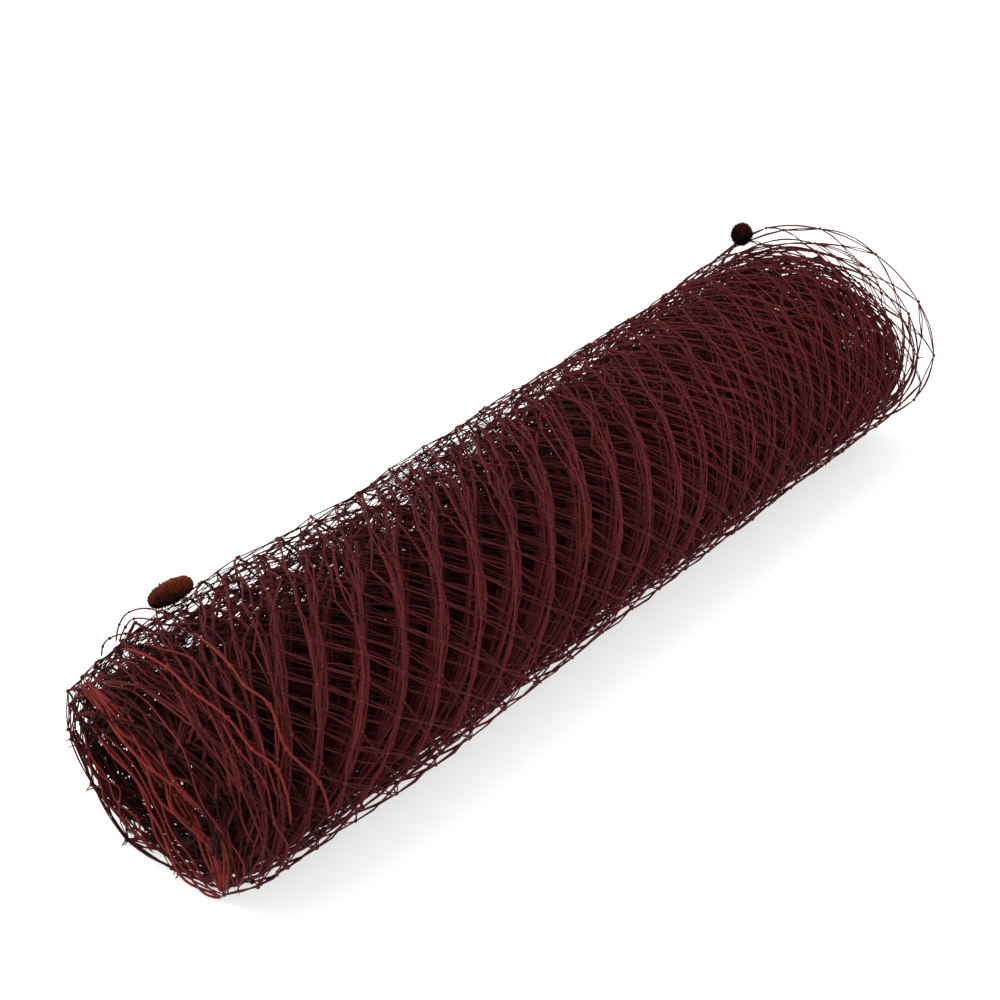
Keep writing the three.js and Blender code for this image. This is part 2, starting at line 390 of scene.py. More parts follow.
def drawnIn(grid):
    # the turns are drawn in at both selvedges, and sunk in or slid out at the near one
    tight, deep = grid["tight"], shareDown(grid["depth"])
    facing = 0.5 + 0.5 * np.cos(grid["turn"] - math.radians(nearEnd["facing"]))
    sunk = mixed(nearEnd["sunkIn"], -nearEnd["slidOut"], facing) * np.sqrt(deep)
    hollow = eased((deep - nearEnd["hollowFrom"]) / nearEnd["hollowRamp"])
    sunk = sunk + nearEnd["hollow"] * hollow * (1 - 0.5 * facing)
    ofWinding, ofLoose = selvedges["nearIn"]
    nearIn = np.where(tight, ofWinding + sunk, ofLoose * (1 - grid["clear"]))
    ofWinding, ofLoose = selvedges["farIn"]
    farIn = np.where(tight, ofWinding, ofLoose * (1 - grid["clear"]))
    calmFrom, calmTo = selvedges["farCalm"]
    nearWander = perTurn(selvedges["wander"], randomNet, 5)[:, None]
    farWander = perTurn(selvedges["wander"], randomNet, 3)[:, None]
    nearIn = nearIn + nearWander * np.where(tight, *selvedges["nearWander"])
    farIn = farIn + farWander * np.where(grid["loose"] > calmFrom, calmTo, 1)
    nearHeld = eased(1 - columnShare / selvedges["nearReach"])
    farHeld = eased(1 - (1 - columnShare) / selvedges["farReach"])
    return grid["x"] + nearIn * nearHeld - farIn * farHeld


def creptTurns(grid, wide):
    # how far each turn has crept along the steep threads and across them
    thirds = stepPerTurn(lambda number: (2 * number) % 3 - 1)[:, None]
    band = stepPerTurn(goldenStep)[:, None]
    along = thirds * mixed(creep["alongNear"], creep["alongFar"], wide)
    along = along + perTurn(creep["alongLoose"], randomNet)[:, None]
    anyhow = perTurn(1, randomNet)[:, None] * creep["deepAcross"]
    across = band * mixed(creep["bandNear"], creep["bandFar"], wide)
    return along, across + anyhow * deepTurns(grid["depth"])


def tousledShare(grid):
    degrees, loose = grid["degrees"], grid["loose"]
    calmFrom, calmTo, calm = tousle["looseCalm"]
    share = eased((degrees - np.interp(grid["x"], tousle["along"], tousle["from"])) / tousle["ramp"])
    share = share * rampOf(degrees, tousle["to"])
    share = share * rampOf(grid["depth"], tousle["turns"])
    share = share * (1 - calm * rampOf(loose, (calmFrom, calmTo)))
    return share * (1 - (loose > 0) * rampOf(grid["x"], tousle["farCalm"]))


def knotWander(grid, tousled):
    # how far each knot strays along the roll, round it and off it, most of all at the near selvedge
    calmFrom, calm = netForm["calm"]
    wander = netForm["knotWander"] * (1 - calm * (grid["loose"] > calmFrom)) + tousle["wander"] * tousled
    ragged = np.where(grid["tight"], *selvedges["ragged"])
    ragged = ragged * (1 - eased(columnShare / selvedges["raggedReach"]))
    ways = np.array(selvedges["raggedWays"])[:, None, None]
    return randomNet.normal(0, 1, (3,) + wander.shape) * (wander * (1 + ragged * ways))


def creepKnots(grid, wide, tousled):
    # moves the knots of the grid to where they lie at last, and gives how far each stands off its turn
    x, depth, degrees = grid["x"], grid["depth"], grid["degrees"]
    along, across = creptTurns(grid, wide)
    step = np.gradient(columnX)
    split = rampOf(x, creep["splits"]) * stepPerTurn(lambda number: number % 2 - 0.5)[:, None]
    drift = rampOf(degrees, creep["driftFrom"]) * rampOf(degrees, creep["driftTo"])
    drift = drift * eased(grid["loose"] / creep["driftTurns"]) * stepPerTurn(goldenStep)[:, None]
    patch = tousled * mixed(tousle["patchNear"], tousle["patchFar"], wide)
    across = across + (drift - split * 0.5) * step
    across = across + patch * patches(1, randomNet, 6, 5)
    along = along + patch * patches(1, randomNet, 5, 6)
    wander = knotWander(grid, tousled)
    steep = math.radians(creep["steepAngle"])
    held = eased(columnShare / creep["heldShare"]) * eased((1 - columnShare) / creep["heldShare"])
    lean = depth * creep["leanPerTurn"] - grid["clear"] * creep["leanLoose"]
    radius = (sizeAt(x, "tightHalf") + sizeAt(x, "tightHigh") / 2) / 2
    radius = mixed(radius, netForm["coreRadius"], shareDown(depth))
    around = along * math.cos(steep) + split * 0.5 * netForm["halfRow"]
    x = x + (along * math.sin(steep) + across + lean) * held + wander[0] * mixed(0.6, 1, held)
    grid["x"] = np.clip(x, *netForm["keepsTo"])
    grid["turn"] = grid["turn"] + (around * held + wander[1]) / radius
    return wander[2] * 0.6 - np.abs(wander[2]) * 0.4 * (grid["loose"] > netForm["pressedFrom"])


def knotShades(grid, wide, tousled):
    # how much painted shade each knot gets, and how much painted light at the near end
    x, depth = grid["x"], grid["depth"]
    facing = np.cos(grid["turn"] - math.radians(slidLight["facing"]))
    light = rampOf(x, (slidLight["from"], slidLight["to"])) * eased(0.2 + 1.2 * facing) * slidLight["most"]
    downTo, most = (mixed(near, far, wide) for near, far in zip(shading["near"], shading["far"]))
    dark = most * np.clip((depth - shading["from"]) / (downTo - shading["from"]), 0, 1)
    dark = dark - shading["innermostLift"] * deepTurns(depth) + shading["tousled"] * tousled
    # painted shade under the far tuft
    alongOff = (x - paintedShadeUnderTuft["x"]) / paintedShadeUnderTuft["long"]
    roundOff = (grid["degrees"] - paintedShadeUnderTuft["degrees"]) / paintedShadeUnderTuft["high"]
    dark = dark + paintedShadeUnderTuft["dark"] * eased(paintedShadeUnderTuft["edge"] - np.hypot(alongOff, roundOff))
    atNear = rampOf(x, shading["nearFrom"]) * np.where(grid["tight"], 1, shading["nearLoose"])
    dark = dark + (shading["nearEnd"] + shading["mouth"] * rampOf(depth, shading["mouthTurns"])) * atNear
    return dark * (1 - slidLight["clears"] * light), light


def knotPlaces():
    # where every knot lies and which way is out from the core there, and its painted shade and painted light
    grid = netGrid()
    grid["x"] = drawnIn(grid)
    wide = rampOf(grid["x"], creep["fades"])
    tousled = tousledShare(grid)
    lift = creepKnots(grid, wide, tousled)
    x, turn = grid["x"], grid["turn"]
    wound = woundPoint(x, turn, grid["depth"], lift)
    looselyWound = loosePoint(x, turn, grid["clear"], lift + looseness["over"])
    places = np.where(grid["tight"][:, :, None], wound, looselyWound)
    deepest = netForm["innerTurns"] + netForm["outerTurns"]
    outward = places - woundPoint(x, turn, np.full_like(x, deepest), 0 * x)
    outward[..., 0] = 0
    return places, unit(outward), *knotShades(grid, wide, tousled)


knotPlace, knotOut, knotDark, knotLight = knotPlaces()
print("stage 2: net laid out,", rowCount, "half rows")


def addPiece(name, points, faces, material, replaced, values, uvs):
    # faces is a list of index arrays, each with one row for each face
    mesh = bpy.data.meshes.new(name)
    loops = np.concatenate([part.ravel() for part in faces]).astype(np.int32)
    totals = np.concatenate([np.full(len(part), part.shape[1]) for part in faces]).astype(np.int32)
    mesh.vertices.add(len(points))
    mesh.vertices.foreach_set("co", np.asarray(points, np.float32).ravel())
    mesh.loops.add(len(loops))
    mesh.loops.foreach_set("vertex_index", loops)
    mesh.polygons.add(len(totals))
    mesh.polygons.foreach_set("loop_start", np.concatenate([[0], np.cumsum(totals)[:-1]]).astype(np.int32))
    mesh.polygons.foreach_set("loop_total", totals)
    mesh.update(calc_edges=True)
    mesh.polygons.foreach_set("use_smooth", np.ones(len(totals), bool))
    for key, value in values.items():
        mesh.attributes.new(key, "FLOAT", "POINT").data.foreach_set("value", np.asarray(value, np.float32))
    mesh.uv_layers.new(name="threadMap").data.foreach_set("uv", np.asarray(uvs, np.float32).ravel())
    mesh.materials.append(material)
    piece = bpy.data.objects.new(name, mesh)
    scene.collection.objects.link(piece)
    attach(piece, "root")
    if replaced:
        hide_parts(replaced)
    triangles = int((totals - 2).sum())
    print("  ", name, triangles, "triangles")
    return piece


# faces of a tube of so many rings, and those to its two tips, whose points follow the rings'
def ringFaces(rings, sides):
    ring = np.arange(rings - 1)[:, None] * sides
    side = np.arange(sides)[None, :]
    onward = (side + 1) % sides
    quads = np.stack([ring + side, ring + onward, ring + sides + onward, ring + sides + side], -1)
    last = (rings - 1) * sides
    nearTip = np.stack([np.full(sides, rings * sides), onward[0], side[0]], -1)
    farTip = np.stack([np.full(sides, rings * sides + 1), last + side[0], last + onward[0]], -1)
    return quads.reshape(-1, 4), np.concatenate([nearTip, farTip])


# the threads' map runs along each in millimetres, and once round it; a tip's triangle has a map of its own
def threadMaps(middles, sides):
    gaps = np.linalg.norm(np.diff(middles, axis=1), axis=2) / mm
    along = np.concatenate([np.zeros((len(middles), 1)), np.cumsum(gaps, axis=1)], axis=1)
    along = np.stack([along[:, :-1], along[:, :-1], along[:, 1:], along[:, 1:]], -1)
    along = np.repeat(along[:, :, None, :], sides, axis=2)
    side = np.arange(sides)
    about = np.stack([side, side + 1, side + 1, side], -1) / sides
    return np.stack([along, np.broadcast_to(about[None, None], along.shape)], -1).reshape(-1, 2)


tipMap = np.array([[0, 0.5], [0.3, 0], [0.3, 1]])


# a bundle of closed tubes, each through its own row of middles, with pointed ends
def tubeMesh(middles, starts, ends, across, up, thick, sides):
    count, rings = thick.shape
    angles = 2 * math.pi * np.arange(sides) / sides
    spoke = np.cos(angles)[:, None] * across[:, :, None, :] + np.sin(angles)[:, None] * up[:, :, None, :]
    body = middles[:, :, None, :] + thick[:, :, None, None] * spoke
    points = np.concatenate([body.reshape(count, -1, 3), starts[:, None, :], ends[:, None, :]], axis=1)
    perTube = rings * sides + 2
    first = np.arange(count)[:, None, None] * perTube
    quads, tips = (first + faces[None] for faces in ringFaces(rings, sides))
    quads, tips = quads.reshape(-1, 4), tips.reshape(-1, 3)
    maps = np.concatenate([threadMaps(middles, sides), np.tile(tipMap, (len(tips), 1))])
    return points.reshape(-1, 3), quads, tips, maps, perTube


# every thread of the net: where its rings lie between its two knots, how low it hangs, how uneven it is
threadForm = {
    "between": (0.07, 0.93),
    "lowest": 0.3 * mm,
    "uneven": 0.12,             # of its thickness, along it
    "waves": 9,
    "phases": 6.28,
    "sizes": (0.85, 1.15),      # from thread to thread
}
# a knot's ball is a little longer along one way than across it, and no two are alike
knotForm = {"ways": (1.15, 0.95, 0.9), "sizes": (0.8, 1.25)}


# threads from knot to knot, bowed a little and bulging as the turn does
def threadTubes(starts, ends, outward, bulge, radius, sides, rings, bend, rng):
    count = len(starts)
    run = ends - starts
    across = unit(np.cross(outward, run))
    up = unit(np.cross(run, across))
    shares = np.linspace(*threadForm["between"], rings)
    wave = np.sin(math.pi * shares)[None, :, None]
    middles = starts[:, None, :] + run[:, None, :] * shares[None, :, None]
    middles = middles + wave * (bend[:, :1] * across + (bend[:, 1:] + bulge[:, None]) * up)[:, None, :]
    middles[..., 2] = np.maximum(middles[..., 2], threadForm["lowest"])
    phase = rng.uniform(0, threadForm["phases"], (count, 1))
    thick = 1 + threadForm["uneven"] * np.sin(phase + threadForm["waves"] * shares[None, :])
    thick = radius[:, None] * thick
    frames = [np.repeat(part[:, None, :], rings, axis=1) for part in (across, up)]
    return tubeMesh(middles, starts, ends, frames[0], frames[1], thick, sides)


# free strands along paths of points
def strandTubes(paths, radius, sides, outward):
    ahead = unit(np.gradient(paths, axis=1))
    across = unit(np.cross(outward, ahead))
    up = np.cross(ahead, across)
    thick = np.repeat(radius[:, None], paths.shape[1] - 2, axis=1)
    return tubeMesh(paths[:, 1:-1], paths[:, 0], paths[:, -1], across[:, 1:-1], up[:, 1:-1], thick, sides)


# the corners and sides of a knot's ball: twenty sides where it shows well, and eight elsewhere
def ballShape(fine):
    if fine:
        golden = (1 + math.sqrt(5)) / 2
        corners = [
            (-1, golden, 0), (1, golden, 0), (-1, -golden, 0), (1, -golden, 0),
            (0, -1, golden), (0, 1, golden), (0, -1, -golden), (0, 1, -golden),
            (golden, 0, -1), (golden, 0, 1), (-golden, 0, -1), (-golden, 0, 1),
        ]
        sidesOf = [
            (0, 11, 5), (0, 5, 1), (0, 1, 7), (0, 7, 10), (0, 10, 11),
            (1, 5, 9), (5, 11, 4), (11, 10, 2), (10, 7, 6), (7, 1, 8),
            (3, 9, 4), (3, 4, 2), (3, 2, 6), (3, 6, 8), (3, 8, 9),
            (4, 9, 5), (2, 4, 11), (6, 2, 10), (8, 6, 7), (9, 8, 1),
        ]
    else:
        corners = [(1, 0, 0), (-1, 0, 0), (0, 1, 0), (0, -1, 0), (0, 0, 1), (0, 0, -1)]
        sidesOf = [
            (0, 2, 4), (2, 1, 4), (1, 3, 4), (3, 0, 4),
            (2, 0, 5), (1, 2, 5), (3, 1, 5), (0, 3, 5),
        ]
    corners = np.array(corners, float)
    return corners / np.linalg.norm(corners[0]), np.array(sidesOf)


def knotBalls(places, outward, size, fine, rng):
    corners, sidesOf = ballShape(fine)
    count = len(places)
    spun = rng.uniform(0, 2 * math.pi, count)
    spin = np.stack([np.cos(spun), np.sin(spun), np.zeros(count)], -1)
    acrossKnot = unit(np.cross(outward, spin))
    alongKnot = np.cross(acrossKnot, outward)
    longWays = np.array(knotForm["ways"])[None, :, None, None]
    stretch = rng.uniform(*knotForm["sizes"], (count, 3, 1, 1)) * longWays * size
    axes = np.stack([alongKnot, acrossKnot, outward], 1)[:, :, None, :]
    points = places[:, None, :] + (corners.T[None, :, :, None] * axes * stretch).sum(1)
    faces = (np.arange(count)[:, None, None] * len(corners) + sidesOf[None]).reshape(-1, 3)
    return points.reshape(-1, 3), faces


# several bundles joined into one piece; each has its points, quads, triangles, map and values for each point
def joinedPiece(name, bundles, material, replaced):
    quads, triangles, quadMaps, triangleMaps, first = [], [], [], [], 0
    for bundle in bundles:
        quads.append(bundle["quads"] + first)
        triangles.append(bundle["triangles"] + first)
        quadMaps.append(bundle["map"][: bundle["quads"].size])
        triangleMaps.append(bundle["map"][bundle["quads"].size:])
        first += len(bundle["points"])
    values = {key: np.concatenate([bundle[key] for bundle in bundles]) for key in ("dark", "lit")}
    points = np.concatenate([bundle["points"] for bundle in bundles])
    points[:, 2] = np.maximum(points[:, 2], 0)      # what lies on the surface is pressed flat on it
    return addPiece(
        name,
        points,
        [np.concatenate(quads), np.concatenate(triangles)],
        material,
        replaced,
        values=values,
        uvs=np.concatenate(quadMaps + triangleMaps),
    )


def tubeBundle(tubes, dark, lit):
    points, quads, tips, uvs, perTube = tubes
    values = {"dark": np.repeat(dark, perTube), "lit": np.repeat(lit, perTube)}
    return {"points": points, "quads": quads, "triangles": tips, "map": uvs} | values


def knotBundle(places, outward, size, fine, dark, lit, rng):
    points, faces = knotBalls(places, outward, size, fine, rng)
    each = len(points) // len(places)
    ballMap = np.tile(tipMap, (len(faces), 1))
    bundle = {"points": points, "quads": np.zeros((0, 4), int), "triangles": faces, "map": ballMap}
    return bundle | {"dark": np.repeat(dark, each), "lit": np.repeat(lit, each)}


# 0 at the roll's ends and 1 between them
def insideShare(x):
    return rampOf(x, selvedges["nearInside"]) * rampOf(x, selvedges["farInside"])


# the net's kinds of thread: how many half rows and half columns on the other knot lies, and the bulge
threadKinds = [
    {"name": "steep", "on": (1, 1), "bulge": 0.16 * mm, "cross": 0},
    {"name": "crossing", "on": (1, -1), "bulge": -0.12 * mm, "cross": 1},
    {"name": "selvedge", "on": (2, 0), "bulge": 0, "cross": 0},
]
# the near rim is drawn straight from knot to knot, and the far one is round
selvedgeForm = {"bulge": (0.15, 1.2), "moreRings": 3, "pairShare": 0.4}


def threadKnots(kind, row, column):
    # the knots at both ends of every thread of a kind
    rowsOn, columnsOn = kind["on"]
    onTo = column + columnsOn
    keep = ((row + column) % 2 == 0) & (onTo >= 0) & (onTo < columnCount)
    if kind["name"] == "selvedge":
        keep = keep & ((column == 0) | (column == columnCount - 1))
    return (row[keep], column[keep]), (row[keep] + rowsOn, onTo[keep])


def threadLooks(kind, starts, ends, look, rng):
    # half the thickness of each thread, and how much painted shade it gets
    x = knotPlace[starts][:, 0]
    wide = rampOf(x, creep["fades"])
    high = kind["cross"] * (1 - wide) * rampOf(np.degrees(rowAngle[starts[0]]), shading["highFrom"])
    radius = look["thread"] / 2 * mixed(1, look[kind["name"]], 1 - wide)
    radius = radius * rng.uniform(*threadForm["sizes"], len(x))
    radius = radius * mixed(look["atEnds"], 1, insideShare(x)) * (1 - netForm["highThin"] * high)
    dark = (knotDark[starts] + knotDark[ends]) / 2
    if not kind["cross"]:
        dark = dark * mixed(shading["steepNear"], 1, wide)
    dark = dark + rng.normal(0, shading["spread"], len(x))
    dark = dark + kind["cross"] * mixed(shading["crossNear"], shading["crossFar"], wide)
    dark = dark + shading["crossHigh"] * high
    if kind["name"] == "selvedge":
        dark = dark + shading["selvedge"] * ((starts[1] == 0) & (starts[0] < tightRows))
    return radius, dark


def threadBulge(kind, starts, ends):
    # how far each thread bulges, as the turn that it lies in does
    span = np.linalg.norm(knotPlace[ends] - knotPlace[starts], axis=1)
    bulge = span * np.linalg.norm(knotOut[ends] - knotOut[starts], axis=1) / 8
    bulge = bulge + kind["bulge"] * (1 - rampOf(knotPlace[starts][:, 0], creep["fades"]))
    if kind["name"] == "selvedge":
        bulge = bulge * np.where(starts[1] == 0, *selvedgeForm["bulge"])
    return bulge


# threads between the knots of some of the strip's rows: steep ones, crossing ones and the selvedges
def netPiece(name, fromRow, toRow, look, material, replaced):
    rng = np.random.default_rng(look["seed"])
    rows = np.arange(fromRow, min(toRow, rowCount - 2))
    row, column = np.meshgrid(rows, np.arange(columnCount), indexing="ij")
    bundles = []
    for kind in threadKinds:
        starts, ends = threadKnots(kind, row, column)
        radius, dark = threadLooks(kind, starts, ends, look, rng)
        bulge = threadBulge(kind, starts, ends)
        outward = knotOut[starts] + knotOut[ends]
        lit = (knotLight[starts] + knotLight[ends]) / 2
        rings, apart = look["rings"], look["pair"]
        if kind["name"] == "selvedge":
            rings += selvedgeForm["moreRings"]
            apart *= selvedgeForm["pairShare"]
        for side in (-1, 1) if look["pair"] else (0,):
            bend = rng.normal(0, look["bow"], (len(radius), 2))
            bend[:, 0] += side * apart
            run = (knotPlace[starts], knotPlace[ends])
            tubes = threadTubes(*run, outward, bulge, radius, look["sides"], rings, bend, rng)
            bundles.append(tubeBundle(tubes, dark, lit))
    knotted = (row + column) % 2 == 0
    knotAt = (row[knotted], column[knotted])
    size = look["knot"] / 2 * mixed(look["atEnds"], 1, insideShare(knotPlace[knotAt][:, 0]))
    size = size[:, None, None, None]
    # the knots carry a little painted light everywhere, and less painted shade than their threads
    dark, lit = knotDark[knotAt] + shading["knots"], knotLight[knotAt] + slidLight["knots"]
    bundles.append(knotBundle(knotPlace[knotAt], knotOut[knotAt], size, look["fine"], dark, lit, rng))
    return joinedPiece(name, bundles, material, replaced)


# what all the fibres share, and the clouds of their dye
fibreForm = {
    "sheenRoughness": 0.5,
    "specular": 0.07,
    "plies": 2,
    "fuzz": 9,                  # scale of the fine fibres on a ply
    "bumpHigh": 0.03 * mm,
}
dyeClouds = {"detail": 3, "contrast": 2.2, "offset": -0.6}


def newMaterial(name, roughness, sheen):
    material = bpy.data.materials.new(name)
    material.use_nodes = True
    shader = material.node_tree.nodes["Principled BSDF"]
    shader.inputs["Roughness"].default_value = roughness
    shader.inputs["Sheen Weight"].default_value = sheen
    shader.inputs["Sheen Roughness"].default_value = fibreForm["sheenRoughness"]
    shader.inputs["Specular IOR Level"].default_value = fibreForm["specular"]
    return material, shader


def newGroup(name, inputs, outputs):
    group = bpy.data.node_groups.new(name, "ShaderNodeTree")
    for direction, sockets in (("INPUT", inputs), ("OUTPUT", outputs)):
        for socketName, kind in sockets:
            group.interface.new_socket(name=socketName, in_out=direction, socket_type="NodeSocket" + kind)
    return group, group.nodes.new("NodeGroupInput"), group.nodes.new("NodeGroupOutput")


def mathNode(tree, operation, first, second):
    node = tree.nodes.new("ShaderNodeMath")
    node.operation = operation
    for socket, value in zip(node.inputs, (first, second)):
        if isinstance(value, (int, float)):
            socket.default_value = value
        elif value is not None:
            tree.links.new(value, socket)
    return node.outputs[0]


# uneven dye: two colours mixed by a cloudy pattern, then towards a painted light colour by the lit attribute
# and a painted shade colour by the dark one
def dyeAndPaintedLightGroup():
    sockets = [("Pale Tint", "Color"), ("Full Tint", "Color"), ("Deep Tint", "Color"), ("Lit Tint", "Color")]
    sockets = sockets + [("Cloud Scale", "Float"), ("Dark", "Float"), ("Lit", "Float")]
    group, entry, leave = newGroup("dyeAndPaintedLight", sockets, [("Colour", "Color")])
    place = group.nodes.new("ShaderNodeTexCoord")
    cloud = group.nodes.new("ShaderNodeTexNoise")
    cloud.inputs["Detail"].default_value = dyeClouds["detail"]
    group.links.new(place.outputs["Object"], cloud.inputs["Vector"])
    group.links.new(entry.outputs["Cloud Scale"], cloud.inputs["Scale"])
    share = mathNode(group, "MULTIPLY_ADD", cloud.outputs["Fac"], dyeClouds["contrast"])
    share.node.inputs[2].default_value = dyeClouds["offset"]
    share.node.use_clamp = True
    lastColour = None
    steps = [
        ("Pale Tint", "Full Tint", share),
        (None, "Lit Tint", entry.outputs["Lit"]),
        (None, "Deep Tint", entry.outputs["Dark"]),
    ]
    for first, second, factor in steps:
        mix = group.nodes.new("ShaderNodeMix")
        mix.data_type = "RGBA"
        group.links.new(lastColour or entry.outputs[first], mix.inputs["A"])
        group.links.new(entry.outputs[second], mix.inputs["B"])
        group.links.new(factor, mix.inputs["Factor"])
        lastColour = mix.outputs["Result"]
    group.links.new(lastColour, leave.inputs["Colour"])
    return group


# the twist of a spun thread, as a height; the map runs along the thread in millimetres and once round it
def twistGroup():
    sockets = [("Map", "Vector"), ("Plies", "Float"), ("Twist", "Float")]
    group, entry, leave = newGroup("spunTwist", sockets, [("Height", "Float")])
    parts = group.nodes.new("ShaderNodeSeparateXYZ")
    group.links.new(entry.outputs["Map"], parts.inputs[0])
    alongTurns = mathNode(group, "MULTIPLY", parts.outputs["X"], entry.outputs["Twist"])
    aboutTurns = mathNode(group, "MULTIPLY", parts.outputs["Y"], entry.outputs["Plies"])
    phase = mathNode(group, "MULTIPLY", mathNode(group, "ADD", alongTurns, aboutTurns), 2 * math.pi)
    fibre = group.nodes.new("ShaderNodeTexNoise")
    fibre.inputs["Scale"].default_value = fibreForm["fuzz"]
    group.links.new(entry.outputs["Map"], fibre.inputs["Vector"])
    ply = mathNode(group, "SINE", phase, None)
    group.links.new(mathNode(group, "ADD", ply, fibre.outputs["Fac"]), leave.inputs["Height"])
    return group


dyeAndPaintedLight = dyeAndPaintedLightGroup()
spunTwist = twistGroup()


def fibreMaterial(name, setup):
    material, shader = newMaterial(name, setup["roughness"], setup["sheen"])
    nodes, links = material.node_tree.nodes, material.node_tree.links
    dyeAndLight = nodes.new("ShaderNodeGroup")
    dyeAndLight.node_tree = dyeAndPaintedLight
    # the deep colour is painted shade and the lit colour painted light; the dark and lit attributes mix them
    # in
    for key in ("pale", "full", "deep", "lit"):
        dyeAndLight.inputs[key.capitalize() + " Tint"].default_value = setup[key] + (1,)
    dyeAndLight.inputs["Cloud Scale"].default_value = setup["cloud"]
    for key in ("dark", "lit"):
        attribute = nodes.new("ShaderNodeAttribute")
        attribute.attribute_name = key
        links.new(attribute.outputs["Fac"], dyeAndLight.inputs[key.capitalize()])
    links.new(dyeAndLight.outputs["Colour"], shader.inputs["Base Color"])
    twist = nodes.new("ShaderNodeGroup")
    twist.node_tree = spunTwist
    twist.inputs["Plies"].default_value = fibreForm["plies"]
    twist.inputs["Twist"].default_value = setup["twist"]
    threadMap = nodes.new("ShaderNodeUVMap")
    threadMap.uv_map = "threadMap"
    links.new(threadMap.outputs["UV"], twist.inputs["Map"])
    bump = nodes.new("ShaderNodeBump")
    bump.inputs["Strength"].default_value = setup["bump"]
    bump.inputs["Distance"].default_value = fibreForm["bumpHigh"]
    links.new(twist.outputs["Height"], bump.inputs["Height"])
    links.new(bump.outputs["Normal"], shader.inputs["Normal"])
    return material


# its lit colour is painted light and its deep colour painted shade
veilThread = fibreMaterial("veilThread", {
    "pale": (0.090, 0.0120, 0.0134),
    "full": (0.063, 0.0088, 0.0102),
    "deep": (0.019, 0.0024, 0.0021),
    "lit": (0.145, 0.0165, 0.0140),
    "cloud": 60,
    "roughness": 0.78,
    "sheen": 0.008,
    "twist": 0.9,
    "bump": 0.5,
})

innerRows = tightRows - netForm["outerRows"] * netForm["outerTurns"]
splitRow = innerRows + netForm["outerRows"] * netForm["middleTurns"]
looseRow = tightRows + netForm["outerRows"] * netForm["easingTurns"]
# a thread's and a knot's thickness in mm, how many times that the steep and the crossing threads have in the
# near half, how far they bow in mm, and the sides and rings of their tubes
lookNames = ("thread", "knot", "steep", "crossing", "bow", "sides", "rings")
lookRows = {
    "inner": (1.6, 2.4, 1.0, 0.9, 0.25, 3, 2),
    "middle": (0.56, 1.2, 1.4, 0.62, 0.25, 3, 2),
    "outer": (0.48, 1.35, 1.5, 0.56, 0.24, 4, 3),
    "easing": (0.36, 0.85, 1.3, 0.7, 0.3, 4, 3),
    "loose": (0.31, 0.95, 1.1, 0.95, 0.2, 4, 3),
}
netLooks = {name: dict(zip(lookNames, row)) for name, row in lookRows.items()}
netLooks["loose"]["pair"] = 0.26    # its threads run in pairs, this far off their middle
netLooks["inner"]["atEnds"] = 0.3   # the deep turns are matted, and thin out where their ends show
for number, look in enumerate(netLooks.values()):
    look.setdefault("atEnds", 1)
    look["selvedge"] = 1
    look["seed"] = 21 + number
    look["fine"] = "pair" in look
    for key in ("thread", "knot", "bow", "pair"):
        look[key] = look.get(key, 0) * mm
netPiece("net_inner_turns", 0, innerRows, netLooks["inner"], veilThread, "net_roll")
netPiece("net_middle_turns", innerRows, splitRow, netLooks["middle"], veilThread, "net_roll")
netPiece("net_outer_turns", splitRow, tightRows, netLooks["outer"], veilThread, "net_roll")
netPiece("net_easing_turns", tightRows, looseRow, netLooks["easing"], veilThread, "loose_turn")
looseTurns = netPiece("net_loose_turns", looseRow, rowCount, netLooks["loose"], veilThread, "loose_turn")
print("stage 3: net made")

# the near end: a web of slid strands that hangs from the back of the rim over the opening to its foot.
# each is a count of strands and the way they take in the plane of the end: mm to the back, mm up
fan = {
    "strands": [
        (5, [(20, 35), (11, 32), (2, 31), (-3, 27), (-8, 26), (-13, 22), (-18, 16), (-15, 3)]),
        (6, [(18, 36), (9, 33), (2, 29), (-2, 26), (-6, 21), (-12, 15), (-14, 4)]),
        (3, [(20, 28), (12, 23), (6, 20), (3, 16), (-2, 10), (-9, 5), (-13, 2)]),
        (2, [(19, 32), (12, 34), (5, 35), (-1, 33), (-6, 29), (-12, 25), (-17, 19), (-18, 5)]),
        (1, [(14, 38), (6, 40), (-2, 38), (-8, 35), (-12, 28), (-17, 22), (-20, 15), (-17, 5)]),
        (3, [(20, 25), (16, 18), (12, 14), (8, 9), (4, 3)]),
        (2, [(18, 36), (8, 31), (0, 25), (-5, 17), (-8, 9), (-12, 3)]),
    ],
    "points": 30,
    "apart": 1.6 * mm,
    "plane": -114.6 * mm,
    "forward": 2.4 * mm,
    "wander": 1.1 * mm,
    "lowest": 0.9 * mm,
    "thick": (0.28 * mm, 0.62 * mm),
    "facing": (-1.0, -0.4, 0.7),
    "sides": 5,
    # how much painted shade and painted light the strands carry, and further down, their knots
    "dark": (0, 0.3),
    "lit": (0.45, 1.15),
    "knot": 0.42 * mm,
    "knotsEach": 3,
    "knotDark": 0.2,
    "knotLit": 0.5,
    "seed": 31,
}
# strands that have come away over the roll's shoulder and loops that stand up by the near tuft:
# along the roll in mm, degrees round it, mm off the loose turns
strayStrands = [
    [(-108, 124, 0.3), (-110, 90, 0.8), (-111, 75, 0.8), (-110, 59, 0.7),
     (-110, 44, 0.7), (-108, 31, 0.6), (-109, 4, 0.3)],
    [(-101, 96, 0.3), (-103, 73, 0.7), (-104, 64, 0.8), (-103, 53, 0.7),
     (-105, 36, 0.8), (-102, 16, 0.6), (-101, -3, 0.2)],
    [(-111, 60, 0.4), (-112, 46, 0.6), (-111, 30, 0.6), (-112, 12, 0.5),
     (-110, -6, 0.4), (-111, -22, 0.3), (-108, -38, 0.1)],
    [(-106, 112, 0.2), (-107, 100, 0.6), (-106, 86, 0.6), (-108, 70, 0.5),
     (-107, 52, 0.5), (-109, 36, 0.4), (-110, 20, 0.2)],
]
